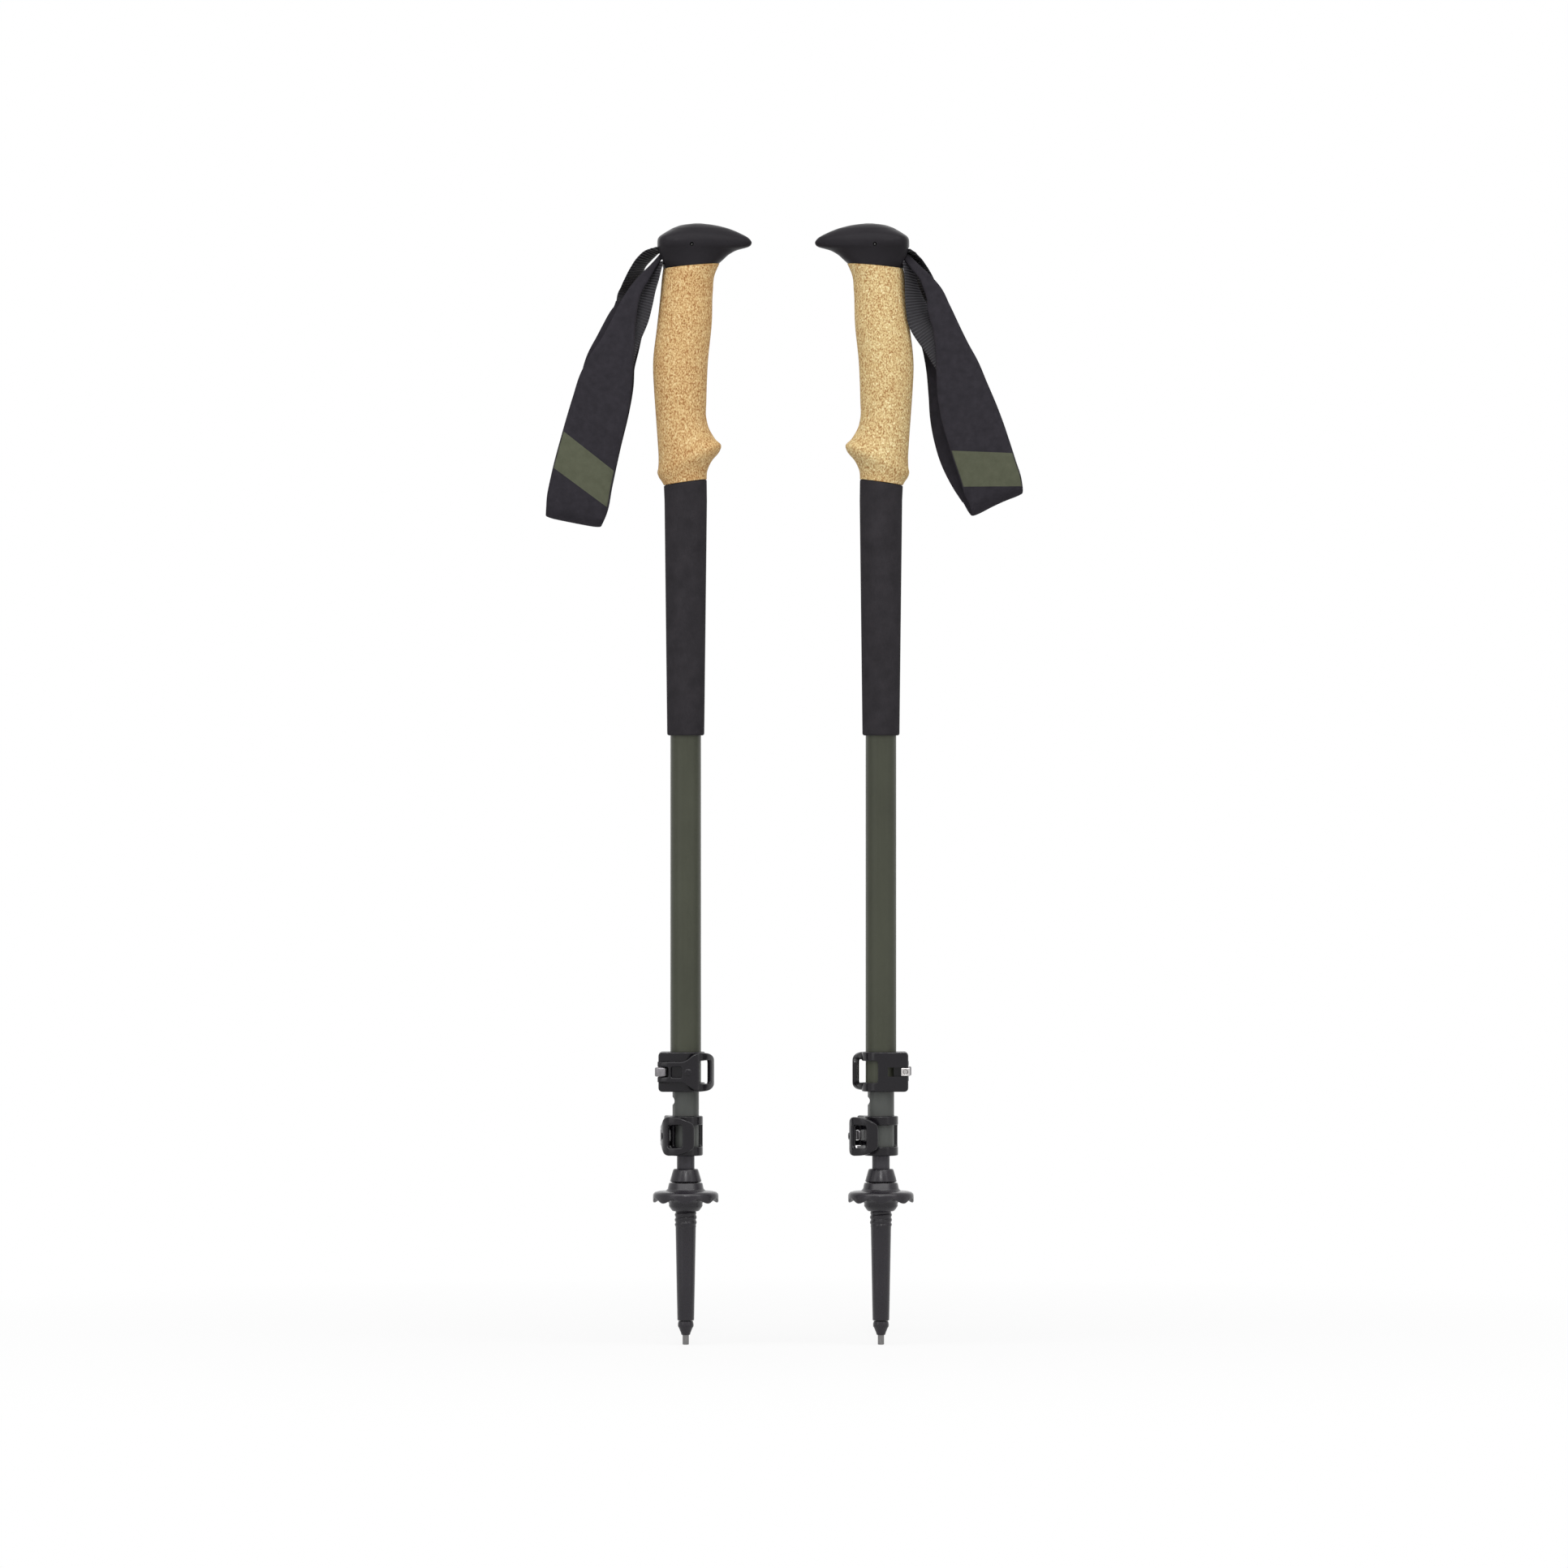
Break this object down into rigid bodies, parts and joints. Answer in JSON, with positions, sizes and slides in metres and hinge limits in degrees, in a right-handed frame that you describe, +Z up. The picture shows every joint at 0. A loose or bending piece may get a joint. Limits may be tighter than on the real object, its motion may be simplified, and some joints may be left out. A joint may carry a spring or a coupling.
{
  "type": "pair of trekking poles",
  "caption": "Pair of telescoping trekking poles with cork grips, wrist straps, lever clamps and small baskets, collapsed and standing on their tips.",
  "frame": {"origin": "on the ground, midway between the two tips", "axes": "+Z up along the poles, +X from the left pole to the right one, -Y towards the picture's camera"},
  "size_m": [0.2737, 0.0374, 0.6398],
  "materials": {
    "carbide": "matte",
    "tip_plastic": "matte",
    "clamp_plastic": "satin",
    "steel": "satin",
    "black_tube": "anodised",
    "grey_green_tube": "anodised",
    "olive_tube": "anodised",
    "plug_plastic": "matte",
    "foam": "matte",
    "cork": "matte",
    "head_rubber": "satin",
    "band_fabric": "matte",
    "webbing": "matte"
  },
  "bodies": {
    "left_lower": {"left_carbide_tip": "carbide", "left_tip_ferrule": "tip_plastic", "left_flex_tip": "tip_plastic", "left_lower_shaft": "black_tube", "left_lower_end_plug": "plug_plastic"},
    "left_basket": {"left_trekking_basket": "tip_plastic"},
    "left_middle": {"left_middle_shaft": "grey_green_tube", "left_middle_end_plug": "plug_plastic", "left_lower_clamp_collar": "clamp_plastic", "left_lower_clamp_pin": "steel", "left_lower_clamp_link": "steel", "left_lower_clamp_adjuster": "steel"},
    "left_lower_lever": {"left_lower_clamp_lever": "clamp_plastic"},
    "left_upper": {"left_upper_shaft": "olive_tube", "left_upper_clamp_collar": "clamp_plastic", "left_upper_clamp_pin": "steel", "left_upper_clamp_link": "steel", "left_upper_clamp_adjuster": "steel", "left_foam_sleeve": "foam", "left_cork_grip": "cork", "left_grip_head": "head_rubber", "left_strap_pin": "steel"},
    "left_upper_lever": {"left_upper_clamp_lever": "clamp_plastic"},
    "left_wedge": {"left_strap_wedge": "plug_plastic"},
    "left_strap": {"left_wrist_strap": "band_fabric", "left_anchor_webbing": "webbing", "left_adjust_webbing": "webbing"},
    "right_lower": {"right_carbide_tip": "carbide", "right_tip_ferrule": "tip_plastic", "right_flex_tip": "tip_plastic", "right_lower_shaft": "black_tube", "right_lower_end_plug": "plug_plastic"},
    "right_basket": {"right_trekking_basket": "tip_plastic"},
    "right_middle": {"right_middle_shaft": "grey_green_tube", "right_middle_end_plug": "plug_plastic", "right_lower_clamp_collar": "clamp_plastic", "right_lower_clamp_pin": "steel", "right_lower_clamp_link": "steel", "right_lower_clamp_adjuster": "steel"},
    "right_lower_lever": {"right_lower_clamp_lever": "clamp_plastic"},
    "right_upper": {"right_upper_shaft": "olive_tube", "right_upper_clamp_collar": "clamp_plastic", "right_upper_clamp_pin": "steel", "right_upper_clamp_link": "steel", "right_upper_clamp_adjuster": "steel", "right_foam_sleeve": "foam", "right_cork_grip": "cork", "right_grip_head": "head_rubber", "right_strap_pin": "steel"},
    "right_upper_lever": {"right_upper_clamp_lever": "clamp_plastic"},
    "right_wedge": {"right_strap_wedge": "plug_plastic"},
    "right_strap": {"right_wrist_strap": "band_fabric", "right_anchor_webbing": "webbing", "right_adjust_webbing": "webbing"}
  },
  "joints": [
    {"name": "left_basket_turn", "type": "hinge", "parent": "left_lower", "child": "left_basket", "pos_m": [-0.0557, 0, 0.0843], "axis": [0, 0, -1], "range_deg": [0, 360]},
    {"name": "left_middle_slide", "type": "slide", "parent": "left_lower", "child": "left_middle", "axis": [0, 0, 1], "range_m": [0, 0.38]},
    {"name": "left_lower_lever_swing", "type": "hinge", "parent": "left_middle", "child": "left_lower_lever", "pos_m": [-0.06622, 0.0102, 0.11925], "axis": [0, 0, -1], "range_deg": [0, 125]},
    {"name": "left_upper_slide", "type": "slide", "parent": "left_middle", "child": "left_upper", "axis": [0, 0, 1], "range_m": [0, 0.38]},
    {"name": "left_upper_lever_swing", "type": "hinge", "parent": "left_upper", "child": "left_upper_lever", "pos_m": [-0.0696, -0.0085, 0.15585], "axis": [0, 0, -1], "range_deg": [0, 125]},
    {"name": "left_wedge_rock", "type": "hinge", "parent": "left_upper", "child": "left_wedge", "pos_m": [-0.0521, 0, 0.6272], "axis": [0, 1, 0], "range_deg": [0, 20]},
    {"name": "left_strap_swing", "type": "hinge", "parent": "left_upper", "child": "left_strap", "pos_m": [-0.0727, 0, 0.625], "axis": [0, 1, 0], "range_deg": [0, 80]},
    {"name": "right_pole_apart", "type": "slide", "parent": "left_lower", "child": "right_lower", "axis": [1, 0, 0], "range_m": [0, 0.2]},
    {"name": "right_basket_turn", "type": "hinge", "parent": "right_lower", "child": "right_basket", "pos_m": [0.0557, 0, 0.0843], "axis": [0, 0, -1], "range_deg": [0, 360]},
    {"name": "right_middle_slide", "type": "slide", "parent": "right_lower", "child": "right_middle", "axis": [0, 0, 1], "range_m": [0, 0.38]},
    {"name": "right_lower_lever_swing", "type": "hinge", "parent": "right_middle", "child": "right_lower_lever", "pos_m": [0.04417, 0.00904, 0.11925], "axis": [0, 0, -1], "range_deg": [-19, 106]},
    {"name": "right_upper_slide", "type": "slide", "parent": "right_middle", "child": "right_upper", "axis": [0, 0, 1], "range_m": [0, 0.38]},
    {"name": "right_upper_lever_swing", "type": "hinge", "parent": "right_upper", "child": "right_upper_lever", "pos_m": [0.0696, 0.0085, 0.15585], "axis": [0, 0, -1], "range_deg": [0, 125]},
    {"name": "right_wedge_rock", "type": "hinge", "parent": "right_upper", "child": "right_wedge", "pos_m": [0.0521, 0, 0.6272], "axis": [0, -1, 0], "range_deg": [0, 20]},
    {"name": "right_strap_swing", "type": "hinge", "parent": "right_upper", "child": "right_strap", "pos_m": [0.0727, 0, 0.625], "axis": [0, -1, 0], "range_deg": [0, 80]}
  ]
}
